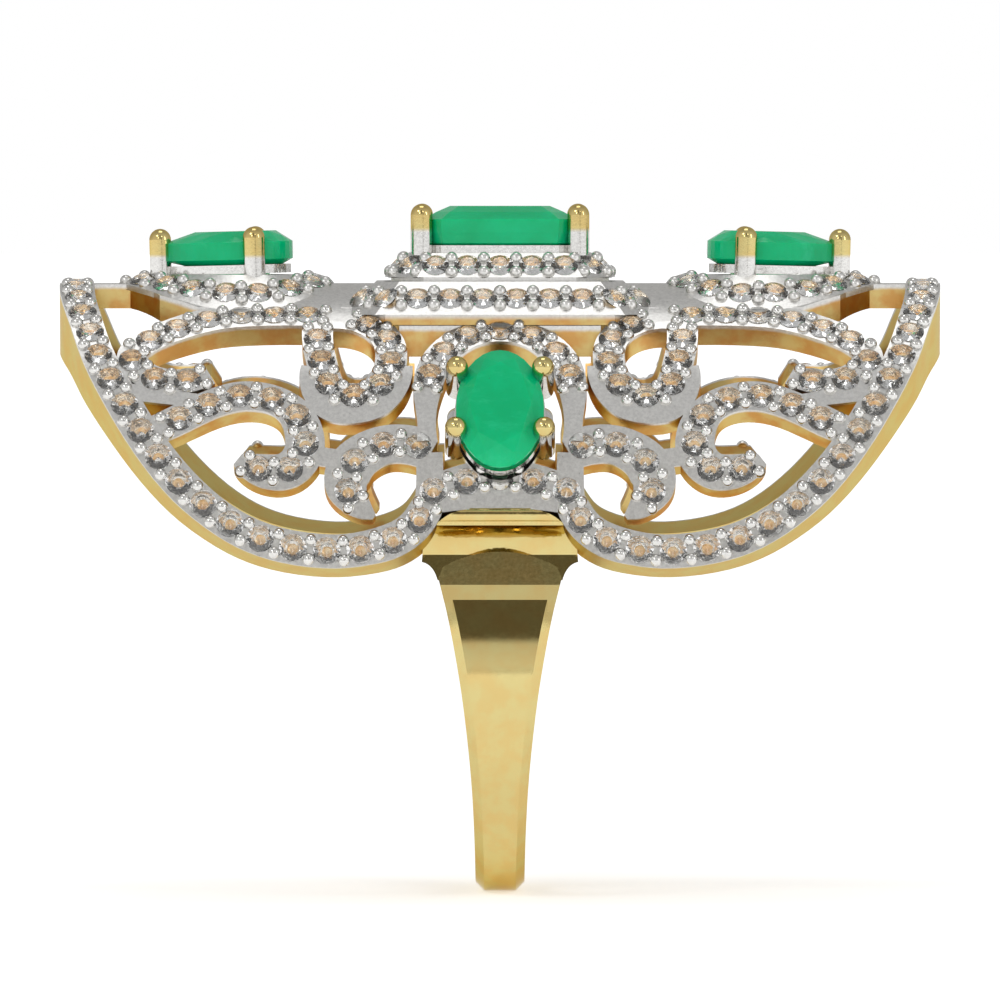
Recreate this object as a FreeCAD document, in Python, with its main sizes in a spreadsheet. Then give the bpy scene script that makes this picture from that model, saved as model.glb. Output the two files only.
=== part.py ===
"""Cocktail ring: an open scrollwork head on a plain band, set with emeralds and small round stones.

Millimetres, +Z up. X runs along the finger and across the long head, Y from the front side to
the rear side, and the band stands on Z = 0 at the origin. The head follows an arch, an elliptical
cylinder along X: a place on it is given by its X and by its distance along the arch from the
crown line, negative towards the front.
"""
import FreeCAD, Part
import bisect
import math
import os

import Sketcher

Vector = FreeCAD.Vector
UP = Vector(0, 0, 1)
ALONG_X = Vector(1, 0, 0)
ALONG_Y = Vector(0, 1, 0)
ORIGIN = Vector(0, 0, 0)
HEAD_REACH = 22.0
ARC_STEPS = 600

DIMENSIONS = [
    ("bore_diameter", 17.3),
    ("band_thickness", 1.6),
    ("band_bevel", 0.4),
    ("arch_half_depth", 11.3),
    ("arch_rise", 17.0),
    ("arch_centre_height", 11.0),
    ("scroll_thickness", 1.1),
    ("rim_thickness_side", 2.5),
    ("rim_thickness_crown", 3.2),
    ("melee_diameter", 1.25),
    ("melee_pitch", 1.53),
    ("bead_diameter", 0.58),
    ("bead_offset", 0.44),
    ("prong_diameter", 1.0),
    ("centre_stone_length", 7.0),
    ("centre_stone_width", 5.0),
    ("centre_girdle_height", 30.95),
    ("pear_length", 6.0),
    ("pear_width", 4.0),
    ("pear_round_centre", 11.55),
    ("pear_girdle_height", 29.9),
    ("oval_length", 6.0),
    ("oval_width", 4.0),
    ("oval_height_on_arch", 21.9),
    ("oval_lift", 1.05),
    ("upper_tier_foot", 28.3),
    ("lower_tier_foot", 26.6),
]

doc = FreeCAD.newDocument("cocktail_ring")


def make_sheet():
    """The driving dimensions, one row each."""
    sheet = doc.addObject("Spreadsheet::Sheet", "Dimensions")
    for row, (alias, value) in enumerate(DIMENSIONS, start=1):
        sheet.set("A%d" % row, alias)
        sheet.set("B%d" % row, str(value))
        sheet.setAlias("B%d" % row, alias)
    doc.recompute()
    return sheet


SHEET = make_sheet()


def size(alias):
    """A driving dimension as the sheet holds it now."""
    return float(SHEET.get(alias))


ARCH_B = size("arch_half_depth")
ARCH_C = size("arch_rise")
ARCH_Z = size("arch_centre_height")
MELEE_R = size("melee_diameter") / 2
BEAD_R = size("bead_diameter") / 2
PRONG_R = size("prong_diameter") / 2


# ---------------------------------------------------------------- the arch

def arc_lengths():
    """Distance along the arch from the crown, at even steps of its angle."""
    lengths = [0.0]
    step = math.pi / 2 / ARC_STEPS
    for index in range(ARC_STEPS):
        angle = (index + 0.5) * step
        lengths.append(lengths[-1] + step * math.hypot(ARCH_B * math.cos(angle), ARCH_C * math.sin(angle)))
    return lengths


ARCS = arc_lengths()


def arc_to_angle(arc):
    """Angle from the crown at a distance along the arch."""
    reach = min(abs(arc), ARCS[-1])
    index = min(max(bisect.bisect_right(ARCS, reach), 1), ARC_STEPS)
    low, high = ARCS[index - 1], ARCS[index]
    angle = (index - 1 + (reach - low) / (high - low)) * math.pi / 2 / ARC_STEPS
    return math.copysign(angle, arc)


def height_to_arc(height):
    """Distance along the arch, on its front half, of a height above the ground."""
    angle = math.acos(min(1.0, (height - ARCH_Z) / ARCH_C))
    place = angle / (math.pi / 2) * ARC_STEPS
    index = min(int(place), ARC_STEPS - 1)
    return -(ARCS[index] + (place - index) * (ARCS[index + 1] - ARCS[index]))


def on_arch(across, arc):
    """Point on the arch, the outward normal and the direction of growing arc."""
    angle = arc_to_angle(arc)
    point = Vector(across, ARCH_B * math.sin(angle), ARCH_Z + ARCH_C * math.cos(angle))
    normal = Vector(0, math.sin(angle) / ARCH_B, math.cos(angle) / ARCH_C).normalize()
    return point, normal, Vector(0, normal.z, -normal.y)


def arch_solid(half_depth, rise):
    """The solid inside an elliptical cylinder along X that shares the arch's centre line."""
    ellipse = Part.Ellipse(ORIGIN, rise, half_depth)
    face = Part.Face(Part.Wire(ellipse.toShape()))
    face.rotate(ORIGIN, Vector(0, 1, 0), -90)
    face.translate(Vector(-HEAD_REACH, 0, ARCH_Z))
    return face.extrude(Vector(2 * HEAD_REACH, 0, 0))


def arch_shell(side_thickness, crown_thickness):
    """A shell under the arch's outer surface."""
    outer = arch_solid(ARCH_B, ARCH_C)
    return outer.cut(arch_solid(ARCH_B - side_thickness, ARCH_C - crown_thickness))


# ---------------------------------------------------------------- ribbons on the arch

def front(points):
    """Points given as X, height on the front of the arch and width, as X, arc and width."""
    return [Vector(across, height_to_arc(height), width) for across, height, width in points]


def across_x(points):
    """A run of points that ends on X = 0, continued by its mirror image."""
    return points + [(-across, height, width) for across, height, width in reversed(points[:-1])]


def spline(points):
    """A smooth curve through points of X, arc and width."""
    curve = Part.BSplineCurve()
    curve.interpolate(points)
    return curve


def ribbon_cutter(curve, stations, above, below):
    """A band that follows a curve on the arch, standing normal to it, from above it to below it."""
    sections = []
    for index in range(stations + 1):
        place = curve.parameterAtDistance(curve.length() * index / stations)
        spot = curve.value(place)
        heading = curve.tangent(place)[0]
        point, normal, along = on_arch(spot.x, spot.y)
        half = (along * heading.x - ALONG_X * heading.y).normalize() * (spot.z / 2)
        top = point + normal * above
        foot = point - normal * below
        sections.append(Part.makePolygon([top + half, top - half, foot - half, foot + half, top + half]))
    return Part.makeLoft(sections, True, False)


def ribbon_cutters(lines):
    """A cutter for each line. Each stands a little higher than the last, so no tops meet."""
    cutters = []
    for index, line in enumerate(lines):
        curve = spline(front(line))
        stations = 2 * math.ceil(curve.length())
        cutters.append(ribbon_cutter(curve, stations, 0.5 + 0.07 * index, 2.0 + 0.07 * index))
    return cutters


def scrolls(cutters, shell, neighbours):
    """The shell's metal under the cutters, in one piece, less what belongs to the neighbours."""
    tool = cutters[0].multiFuse(cutters[1:]) if len(cutters) > 1 else cutters[0]
    metal = tool.common(shell)
    for neighbour in neighbours:
        metal = metal.cut(neighbour)
    return metal


def row_on_arch(curve, start, end, count):
    """Seats and bead places for a row of stones along a curve, between two distances along it."""
    offset = size("bead_offset")
    spacing = (end - start) / (count - 1)
    seats = []
    beads = []
    for index in range(count):
        spot = curve.value(curve.parameterAtDistance(start + spacing * index))
        seats.append(on_arch(spot.x, spot.y)[:2])
    for index in range(count + 1):
        distance = start + spacing * (index - 0.5)
        if not 0 < distance < curve.length():
            continue
        place = curve.parameterAtDistance(distance)
        spot = curve.value(place)
        heading = curve.tangent(place)[0]
        flat = math.hypot(heading.x, heading.y)
        for side in (-1, 1):
            shift = side * offset / flat
            beads.append(on_arch(spot.x - heading.y * shift, spot.y + heading.x * shift)[:2])
    return seats, beads


# ---------------------------------------------------------------- small stones and beads

MELEE_TABLE = 0.55
MELEE_CROWN = 0.16
MELEE_GIRDLE = 0.04
MELEE_PAVILION = 0.50
MELEE_CULET = 0.10
SEAT_LIFT = 0.03


def facing(normal):
    """The rotation that turns +Z to a normal."""
    return FreeCAD.Rotation(UP, normal)


def melee_stone():
    """A small round stone about +Z, its girdle's top edge on Z = 0."""
    profile = [
        Vector(0, 0, MELEE_CROWN),
        Vector(MELEE_R * MELEE_TABLE, 0, MELEE_CROWN),
        Vector(MELEE_R, 0, 0),
        Vector(MELEE_R, 0, -MELEE_GIRDLE),
        Vector(MELEE_R * MELEE_CULET, 0, -MELEE_GIRDLE - MELEE_PAVILION),
        Vector(0, 0, -MELEE_GIRDLE - MELEE_PAVILION),
    ]
    face = Part.Face(Part.makePolygon(profile + profile[:1]))
    return face.revolve(ORIGIN, UP, 360)


STONE = melee_stone()


def placed(shape, point, normal, lift=0.0):
    """A copy of a shape stood on a point along a normal."""
    copy = shape.copy()
    copy.Placement = FreeCAD.Placement(point + normal * lift, facing(normal))
    return copy


def stones_at(seats):
    """Round stones in their seats."""
    return [placed(STONE, point, normal, SEAT_LIFT) for point, normal in seats]


def beads_at(places):
    """Raised beads, each a ball half sunk in the metal."""
    ball = Part.makeSphere(BEAD_R)
    return [placed(ball, point, normal) for point, normal in places]


def largest(shape):
    """The largest solid of a shape, which leaves boolean crumbs behind."""
    return max(shape.Solids, key=lambda solid: solid.Volume)


def set_with_stones(metal, seats, places):
    """Metal with beads raised on it and seats cut for its stones."""
    beaded = metal.multiFuse(beads_at(places))
    return largest(beaded.cut(Part.makeCompound(stones_at(seats))))


# ---------------------------------------------------------------- the lines of the scrollwork
# Left front quarter: X, height on the arch and width of each ribbon.

RIM_END = 19.45
RIM_FOOT_MARGIN = 0.75
RIM_LINE = [
    (-2.8, 19.35, 1.2), (-3.05, 18.6, 1.35), (-3.5, 17.6, 1.5), (-4.3, 16.75, 1.6), (-5.5, 16.25, 1.6), (-6.8, 16.0, 1.55),
    (-8.3, 16.0, 1.55), (-9.9, 16.25, 1.55), (-11.5, 16.8, 1.55), (-12.9, 17.65, 1.55), (-14.2, 18.75, 1.6),
    (-15.4, 20.1, 1.6), (-16.4, 21.5, 1.6), (-17.2, 22.8, 1.6), (-17.9, 24.0, 1.55), (-18.45, 25.1, 1.5),
    (-18.9, 26.3, 1.5), (-19.25, 27.2, 1.55), (-19.42, 27.8, 1.6),
]
HOOK_LINE = [
    (-7.4, 26.5, 1.6), (-9.0, 26.6, 1.7), (-11.0, 26.6, 1.75), (-13.0, 26.45, 1.75), (-14.7, 26.0, 1.6),
    (-16.0, 25.45, 1.45), (-16.75, 24.75, 1.4), (-16.2, 23.95, 1.4), (-15.1, 23.6, 1.4),
    (-14.1, 23.65, 1.3), (-13.2, 23.9, 1.1),
]
CREST_LINE = [
    (-16.1, 21.3, 1.3), (-14.4, 22.0, 1.5), (-13.1, 22.6, 1.5), (-11.8, 22.95, 1.55), (-10.5, 22.85, 1.5),
    (-9.45, 22.3, 1.55), (-8.9, 21.3, 1.75), (-8.95, 20.3, 1.8), (-9.7, 19.6, 1.75), (-10.7, 19.6, 1.6),
    (-11.45, 19.85, 1.2), (-11.9, 20.1, 0.6),
]
LOOP_LINE = [
    (-8.3, 26.3, 1.45), (-8.3, 25.3, 1.4), (-8.05, 24.2, 1.4), (-7.6, 23.25, 1.4), (-6.75, 22.95, 1.35),
    (-5.8, 23.15, 1.4), (-5.15, 23.9, 1.45), (-4.95, 24.7, 1.45), (-5.1, 25.4, 1.45), (-5.7, 26.0, 1.5),
    (-6.6, 26.35, 1.55), (-7.7, 26.45, 1.6),
]
LOOP_FOOT = 4
LOOP_BORDER = [
    (-8.8, 24.3, 0.5), (-8.5, 23.0, 0.9), (-7.7, 22.3, 1.1), (-6.6, 22.15, 1.0), (-5.5, 22.45, 1.0),
    (-4.7, 23.2, 0.9), (-4.3, 24.3, 0.65),
]
CURL_LINE = [
    (-3.1, 20.45, 1.8), (-4.0, 20.75, 1.9), (-5.0, 20.8, 1.9), (-6.1, 20.4, 2.0), (-6.8, 19.7, 2.1),
    (-6.95, 19.0, 2.0), (-6.65, 18.3, 1.5), (-6.15, 17.8, 0.9), (-5.7, 17.5, 0.25),
]
CURL_LINK = [(-3.3, 18.2, 1.1), (-3.2, 19.2, 1.2), (-3.2, 20.4, 1.2)]
CREST_LINK = [(-8.6, 20.3, 0.9), (-7.5, 20.15, 0.9)]
HOOK_LINK = [(-17.2, 23.2, 0.9), (-15.5, 22.95, 0.8), (-13.8, 22.75, 0.7)]
STRIP_LINE = [(-3.1, 18.6, 1.5), (-1.7, 19.05, 1.7), (0, 19.3, 1.75)]
APRON_LINE = [(-2.9, 18.1, 0.9), (-1.4, 18.4, 1.15), (0, 18.5, 1.25)]
HALO_LINE = [
    (-3.3, 20.9, 0.95), (-3.35, 22.3, 0.95), (-3.3, 23.3, 1.3), (-3.05, 24.2, 1.45), (-2.35, 25.1, 1.5),
    (-1.3, 25.7, 1.5), (0, 25.9, 1.5),
]


def mirrored(shape, axis):
    """The shape's mirror image across the plane through the origin with this normal."""
    return shape.mirror(ORIGIN, axis)


def rim_curve():
    """The left rim from its front foot, round the blunt end of the head, to its rear foot."""
    half = front(RIM_LINE)
    tip = Vector(-RIM_END, 0, RIM_LINE[-1][2])
    rear = [Vector(point.x, -point.y, point.z) for point in reversed(half)]
    return spline(half + [tip] + rear)


SPINE_CORNERS = [(4.6, 5.2), (4.6, 3.95), (13.8, 3.95), (15.6, 2.8), (17.0, 0.9), (18.9, 0.9)]
SPINE_WINDOWS = [(0.0, 4.0, 2.6), (-12.3, 2.6, 1.7), (12.3, 2.6, 1.7)]


def spine_footprint():
    """Plan of the plate along the crown that carries the upper settings, as a tall prism."""
    outline = [(x, y) for x, y in SPINE_CORNERS]
    outline += [(x, -y) for x, y in reversed(SPINE_CORNERS)]
    outline += [(-x, -y) for x, y in SPINE_CORNERS]
    outline += [(-x, y) for x, y in reversed(SPINE_CORNERS)]
    points = [Vector(x, y, 20) for x, y in outline]
    return Part.Face(Part.makePolygon(points + points[:1])).extrude(Vector(0, 0, 12))


def build_scrollwork():
    """The rims, the spine, the oval mounts and the scroll panels, with their small stones."""
    rim_shell = arch_shell(size("rim_thickness_side"), size("rim_thickness_crown"))
    scroll_shell = arch_shell(size("scroll_thickness"), size("scroll_thickness"))
    shapes = {}

    line = rim_curve()
    rim_cutter = ribbon_cutter(line, 48, 0.4, 4.0)
    count = 2 * round((line.length() / 2 - RIM_FOOT_MARGIN) / size("melee_pitch")) + 1
    seats, places = row_on_arch(line, RIM_FOOT_MARGIN, line.length() - RIM_FOOT_MARGIN, count)
    rim = set_with_stones(largest(rim_cutter.common(rim_shell)), seats, places)
    stones = Part.makeCompound(stones_at(seats))
    shapes["rim_left"] = rim
    shapes["rim_right"] = mirrored(rim, ALONG_X)
    shapes["melee_rim_left"] = stones
    shapes["melee_rim_right"] = mirrored(stones, ALONG_X)

    both_rims = Part.makeCompound([rim_cutter, mirrored(rim_cutter, ALONG_X)])
    spine = spine_footprint().common(scroll_shell).cut(both_rims)
    for middle, half_length, half_width in SPINE_WINDOWS:
        corner = Vector(middle - half_length, -half_width, 20)
        spine = spine.cut(Part.makeBox(2 * half_length, 2 * half_width, 20, corner))
    shapes["crown_spine"] = largest(spine)

    halo_cutter, strip_cutter, apron_cutter = ribbon_cutters(
        [across_x(line) for line in (HALO_LINE, STRIP_LINE, APRON_LINE)])
    halo, strip = [spline(front(across_x(line))) for line in (HALO_LINE, STRIP_LINE)]
    mounts = [
        ("oval_halo", [halo_cutter], row_on_arch(halo, 3.6, halo.length() - 3.6, 7)),
        ("oval_apron", [strip_cutter, apron_cutter], row_on_arch(strip, 1.7, strip.length() - 1.7, 3)),
    ]
    for name, cutters, (seats, places) in mounts:
        metal = largest(scrolls(cutters, scroll_shell, [both_rims, spine_footprint()]))
        shapes[name + "_front"] = set_with_stones(metal, seats, places)
        shapes["melee_%s_front" % name] = Part.makeCompound(stones_at(seats))
        for label in (name, "melee_" + name):
            shapes[label + "_rear"] = mirrored(shapes[label + "_front"], ALONG_Y)

    hook, crest, loop, curl = [
        spline(front(line)) for line in (HOOK_LINE, CREST_LINE, LOOP_LINE, CURL_LINE)
    ]
    lines = [HOOK_LINE, CREST_LINE, LOOP_LINE[:LOOP_FOOT + 2], LOOP_LINE[LOOP_FOOT:], LOOP_BORDER,
             CURL_LINE, CURL_LINK, CREST_LINK, HOOK_LINK]
    neighbours = [rim_cutter, spine_footprint(), halo_cutter, strip_cutter, apron_cutter]
    panel = scrolls(ribbon_cutters(lines), scroll_shell, neighbours)
    rows = [
        row_on_arch(hook, 1.4, hook.length() - 1.1, 9),
        row_on_arch(crest, 1.7, crest.length() - 1.4, 8),
        row_on_arch(loop, 1.2, loop.length() - 1.8, 8),
        row_on_arch(curl, 0.7, 5.4, 4),
    ]
    seats = [seat for row in rows for seat in row[0]]
    places = [place for row in rows for place in row[1]]
    panel = set_with_stones(largest(panel), seats, places)
    stones = Part.makeCompound(stones_at(seats))
    shapes["scroll_panel_front_left"] = panel
    shapes["melee_scroll_front_left"] = stones
    for name in ("scroll_panel_%s", "melee_scroll_%s"):
        base = shapes[name % "front_left"]
        shapes[name % "front_right"] = mirrored(base, ALONG_X)
        shapes[name % "rear_left"] = mirrored(base, ALONG_Y)
        shapes[name % "rear_right"] = mirrored(shapes[name % "front_right"], ALONG_Y)
    return shapes


# ---------------------------------------------------------------- outlines seen from above

def octagon(half_length, half_width, corner, height):
    """Edges of an octagon, anticlockwise from the middle of its front side."""
    right = [
        (0, -half_width), (half_length - corner, -half_width), (half_length, corner - half_width),
        (half_length, half_width - corner), (half_length - corner, half_width), (0, half_width),
    ]
    left = [(-x, y) for x, y in reversed(right[1:-1])]
    points = [Vector(x, y, height) for x, y in right + left + right[:1]]
    return [Part.makeLine(start, end) for start, end in zip(points, points[1:])]


def pear(centre, radius, length, height):
    """Edges of a pear shape with its tip towards -X, anticlockwise from the tip.

    Its round end is a half circle about the centre, and its flanks are arcs that run from the
    half circle to the tip, which is at this length from the centre.
    """
    flank = (length ** 2 + radius ** 2) / (2 * radius)
    half_angle = math.asin(min(1.0, length / flank)) / 2
    side = Vector(centre - flank * math.sin(half_angle), flank * (1 - math.cos(half_angle)) - radius, height)
    tip = Vector(centre - length, 0, height)
    low = Vector(centre, -radius, height)
    end = Vector(centre + radius, 0, height)
    high = Vector(centre, radius, height)
    diagonal = radius / math.sqrt(2)
    return [
        Part.Arc(tip, side, low).toShape(),
        Part.Arc(low, Vector(centre + diagonal, -diagonal, height), end).toShape(),
        Part.Arc(end, Vector(centre + diagonal, diagonal, height), high).toShape(),
        Part.Arc(high, Vector(side.x, -side.y, height), tip).toShape(),
    ]


def oval(half_length, half_width, height):
    """Edge of an ellipse, its long axis along Y."""
    ellipse = Part.Ellipse(ORIGIN, half_length, half_width).toShape()
    ellipse.rotate(ORIGIN, UP, 90)
    ellipse.translate(Vector(0, 0, height))
    return [ellipse]


def prism(edges, rise):
    """The outline pushed up by a height."""
    return Part.Face(Part.Wire(edges)).extrude(Vector(0, 0, rise))


def sloped(foot, top):
    """The solid between two like outlines at different heights."""
    return Part.makeLoft([Part.Wire(foot), Part.Wire(top)], True, True)


def sloped_row(outline, slope, count, phase):
    """Seats and bead places for stones spaced evenly along a closed outline on a sloped face."""
    lengths = [edge.Length for edge in outline]
    pitch = sum(lengths) / count

    def spot(distance):
        distance = distance % sum(lengths)
        for edge, length in zip(outline, lengths):
            if distance <= length:
                break
            distance -= length
        place = edge.getParameterByLength(min(distance, edge.Length))
        outward = edge.tangentAt(place).cross(UP).normalize()
        normal = outward * math.cos(slope) + UP * math.sin(slope)
        return edge.valueAt(place), normal, UP * math.cos(slope) - outward * math.sin(slope)

    seats = [spot(pitch * (index + phase))[:2] for index in range(count)]
    beads = []
    for index in range(count):
        point, normal, uphill = spot(pitch * (index + phase + 0.5))
        for side in (-1, 1):
            beads.append((point + uphill * (side * size("bead_offset")), normal))
    return seats, beads


# ---------------------------------------------------------------- tiers and pear halos

TIER_CORNER = 1.5
TIER_RISE_LOWER = 1.5
TIER_RISE_UPPER = 1.1
LOWER_TIER_HALF = (7.2, 5.6)
UPPER_TIER_HALF = (5.3, 3.95)
LOWER_TIER_COUNT = 28
UPPER_TIER_COUNT = 20
TIER_WALL_DROP = 1.4
TIER_WALL_INSET = 0.45
HALO_FOOT = (12.65, 4.95, 4.95)
HALO_TOP = (12.5, 3.5, 2.95)
HALO_TOP_HEIGHT = 28.4
HALO_WALL = 0.6
HALO_SINK = 0.25
HALO_COUNT = 15
HALO_STATIONS = 20


def tier(half, foot_height, rise, corner, opening, count, phase, wall):
    """An octagonal frame with four-sided slopes at 45 degrees, standing on the arch."""
    half_length, half_width = half
    foot = octagon(half_length, half_width, corner, foot_height)
    top_half = (half_length - rise, half_width - rise)
    top_corner = corner * top_half[1] / half_width
    frame = sloped(foot, octagon(*top_half, top_corner, foot_height + rise))
    inset, drop = wall
    base = octagon(half_length - inset, half_width - inset, corner, foot_height - drop)
    frame = frame.fuse(prism(base, drop))
    hole = prism(octagon(*opening, corner / 2, foot_height - drop - 1), rise + drop + 2)
    frame = largest(frame.cut(hole).cut(arch_solid(ARCH_B, ARCH_C)))
    middle = octagon(half_length - rise / 2, half_width - rise / 2, (corner + top_corner) / 2,
                     foot_height + rise / 2)
    seats, places = sloped_row(middle, math.radians(45), count, phase)
    return set_with_stones(frame, seats, places), Part.makeCompound(stones_at(seats))


def egg(outline, turn):
    """A place on an egg-shaped outline about the left pear, its turn going from the tip to the round end."""
    centre, half_length, breadth = outline
    across = breadth * math.sin(turn) * math.sqrt(abs(math.sin(turn / 2)))
    return -centre - half_length * math.cos(turn), -across


def arch_height(across):
    """Height of the arch's outer surface at a distance from its middle plane."""
    return ARCH_Z + ARCH_C * math.sqrt(1 - (across / ARCH_B) ** 2)


def halo_slope(turn):
    """Foot and top of the pear halo's sloped face, where its outline has turned this far."""
    foot_x, foot_y = egg(HALO_FOOT, turn)
    top_x, top_y = egg(HALO_TOP, turn)
    return Vector(foot_x, foot_y, arch_height(foot_y)), Vector(top_x, top_y, HALO_TOP_HEIGHT)


def halo_half():
    """The front half of the pear halo's frame, lofted from its tip to its round end."""
    sections = []
    for index in range(HALO_STATIONS + 1):
        foot, top = halo_slope(math.pi * index / HALO_STATIONS)
        inward = Vector(top.x - foot.x, top.y - foot.y, 0).normalize() * HALO_WALL
        if index in (0, HALO_STATIONS):
            inward.y = 0
        inner = top + inward
        corners = [foot, top, inner, Vector(inner.x, inner.y, arch_height(inner.y) - HALO_SINK),
                   foot - UP * HALO_SINK]
        sections.append(Part.makePolygon(corners + corners[:1]))
    return Part.makeLoft(sections, True, False)


def halo_row():
    """Seats and bead places around the pear halo's sloped face."""
    steps = 360
    turns = [2 * math.pi * index / steps for index in range(steps + 1)]
    middles = [sum(halo_slope(turn), Vector()) * 0.5 for turn in turns]
    lengths = [0.0]
    for start, end in zip(middles, middles[1:]):
        lengths.append(lengths[-1] + start.distanceToPoint(end))
    pitch = lengths[-1] / HALO_COUNT
    seats = []
    beads = []
    for index in range(2 * HALO_COUNT):
        place = min(bisect.bisect_left(lengths, pitch * (index + 1) / 2), steps - 1)
        foot, top = halo_slope(turns[place])
        heading = middles[place + 1] - middles[place - 1]
        uphill = (top - foot).normalize()
        normal = heading.cross(uphill).normalize()
        if index % 2 == 0:
            seats.append((middles[place], normal))
            continue
        for side in (-1, 1):
            beads.append((middles[place] + uphill * (side * size("bead_offset")), normal))
    return seats, beads


def pear_halo():
    """The left pear's frame: an egg-shaped slope of small stones that sits on the arch."""
    half = halo_half()
    frame = half.fuse(mirrored(half, ALONG_Y)).removeSplitter()
    seats, places = halo_row()
    return set_with_stones(largest(frame), seats, places), Part.makeCompound(stones_at(seats))


def build_tiers():
    """The two tiers under the centre stone and the two pear halos."""
    shapes = {}
    lower = tier(LOWER_TIER_HALF, size("lower_tier_foot"), TIER_RISE_LOWER, TIER_CORNER, (4.3, 2.7),
                 LOWER_TIER_COUNT, 0.5, (TIER_WALL_INSET, TIER_WALL_DROP))
    upper = tier(UPPER_TIER_HALF, size("upper_tier_foot"), TIER_RISE_UPPER, TIER_CORNER, (3.2, 2.1),
                 UPPER_TIER_COUNT, 0.0, (0.3, size("upper_tier_foot") - size("lower_tier_foot") - 1.5))
    shapes["lower_tier"], shapes["melee_lower_tier"] = lower
    shapes["upper_tier"], shapes["melee_upper_tier"] = upper
    halo, stones = pear_halo()
    shapes["pear_halo_left"] = halo
    shapes["melee_pear_halo_left"] = stones
    shapes["pear_halo_right"] = mirrored(halo, ALONG_X)
    shapes["melee_pear_halo_right"] = mirrored(stones, ALONG_X)
    return shapes


# ---------------------------------------------------------------- large stones and their prongs

EMERALD_CORNER = 0.8
# Each cut: table share, crown height, girdle thickness, keel share and depth below the girdle's top.
CENTRE_CUT = (0.52, 0.6, 1.1, 0.45, 1.75)
PEAR_CUT = (0.62, 0.5, 0.8, 0.4, 1.6)
OVAL_CUT = (0.7, 0.55, 0.12, 0.16, 1.5)
PRONG_RISE = 0.2
OVAL_PRONG_RISE = 0.5


def cut_stone(outline, cut):
    """A stone about Z = 0, the top edge of its girdle. The outline takes a share and a height."""
    table, crown_height, thickness, keel, depth = cut
    crown = sloped(outline(1.0, 0.0), outline(table, crown_height))
    girdle = prism(outline(1.0, -thickness), thickness)
    pavilion = sloped(outline(keel, -depth), outline(1.0, -thickness))
    return largest(crown.multiFuse([girdle, pavilion]).removeSplitter())


def emerald_outline(share, height):
    """The centre stone's octagon at a share of its size."""
    half_length = size("centre_stone_length") / 2
    half_width = size("centre_stone_width") / 2
    inset = (1 - share) * half_width
    return octagon(half_length - inset, half_width - inset, EMERALD_CORNER * share, height)


def pear_outline(share, height):
    """The pear stone's outline at a share of its size, with its round end's centre on Z."""
    radius = size("pear_width") / 2
    return pear(0, radius * share, (size("pear_length") - radius) * share, height)


def oval_outline(share, height):
    """The oval stone's outline at a share of its size."""
    return oval(size("oval_length") / 2 * share, size("oval_width") / 2 * share, height)


def prong(point, foot, tip, lean=ORIGIN):
    """A round prong from a foot height to a tip height, with a domed tip, leaning by an offset."""
    start = Vector(point.x, point.y, foot)
    axis = Vector(point.x, point.y, tip) + lean - start
    rod = Part.makeCylinder(PRONG_R, axis.Length, start, axis)
    return rod.fuse(Part.makeSphere(PRONG_R, start + axis))


def ring(outer, inner, rise):
    """A flat rail between two outlines."""
    return prism(outer, rise).cut(prism(inner, rise))


def basket(rails, prongs, stone):
    """Rails and prongs fused into one basket and cut clear of the stone that they hold."""
    frame = rails[0].multiFuse(rails[1:] + prongs)
    return largest(frame.cut(stone))


CENTRE_PRONG_FOOT = 28.6
CENTRE_RAILS = (28.9, 29.35)
RAIL_RISE = 0.4


def build_centre():
    """The centre emerald and its four-prong basket."""
    girdle_height = size("centre_girdle_height")
    stone = cut_stone(emerald_outline, CENTRE_CUT)
    stone.translate(Vector(0, 0, girdle_height))
    half_length = size("centre_stone_length") / 2
    half_width = size("centre_stone_width") / 2
    feet = [Vector(x * (half_length + 0.1), y * (half_width - 0.35), 0) for x in (-1, 1) for y in (-1, 1)]
    prongs = [prong(foot, CENTRE_PRONG_FOOT, girdle_height + PRONG_RISE) for foot in feet]
    rails = [
        ring(octagon(half_length, half_width, EMERALD_CORNER, height),
             octagon(half_length - 0.75, half_width - 0.75, EMERALD_CORNER / 2, height), RAIL_RISE)
        for height in CENTRE_RAILS
    ]
    return {"centre_emerald": stone, "centre_basket": basket(rails, prongs, stone)}


PEAR_TILT = 1.5
PEAR_PRONG_FOOT = -2.2
PEAR_RAILS = ((0.98, -1.95), (0.95, -1.45))


def build_pears():
    """The pear emeralds and their three-prong baskets."""
    girdle_height = size("pear_girdle_height")
    stone = cut_stone(pear_outline, PEAR_CUT)
    radius = size("pear_width") / 2
    length = size("pear_length") - radius
    feet = [Vector(-length - 0.1, 0, 0), Vector(0.25, -radius - 0.1, 0), Vector(0.25, radius + 0.1, 0)]
    prongs = [prong(foot, PEAR_PRONG_FOOT, PRONG_RISE) for foot in feet]
    rails = [
        ring(pear(0, radius * share, length * share, height),
             pear(0, radius * share - 0.55, length * share - 0.9, height), RAIL_RISE)
        for share, height in PEAR_RAILS
    ]
    frame = basket(rails, prongs, stone)
    for shape in (stone, frame):
        shape.rotate(ORIGIN, ALONG_Y, -PEAR_TILT)
        shape.translate(Vector(-size("pear_round_centre"), 0, girdle_height))
    return {
        "pear_emerald_left": stone,
        "pear_emerald_right": mirrored(stone, ALONG_X),
        "pear_basket_left": frame,
        "pear_basket_right": mirrored(frame, ALONG_X),
    }


OVAL_PRONGS = [(1.95, 1.85), (-1.95, 1.85), (2.0, -1.25), (-2.0, -1.25)]
OVAL_PRONG_FOOT = -1.7
OVAL_RAILS = ((0.1, -1.5), (0.05, -0.75))


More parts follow.
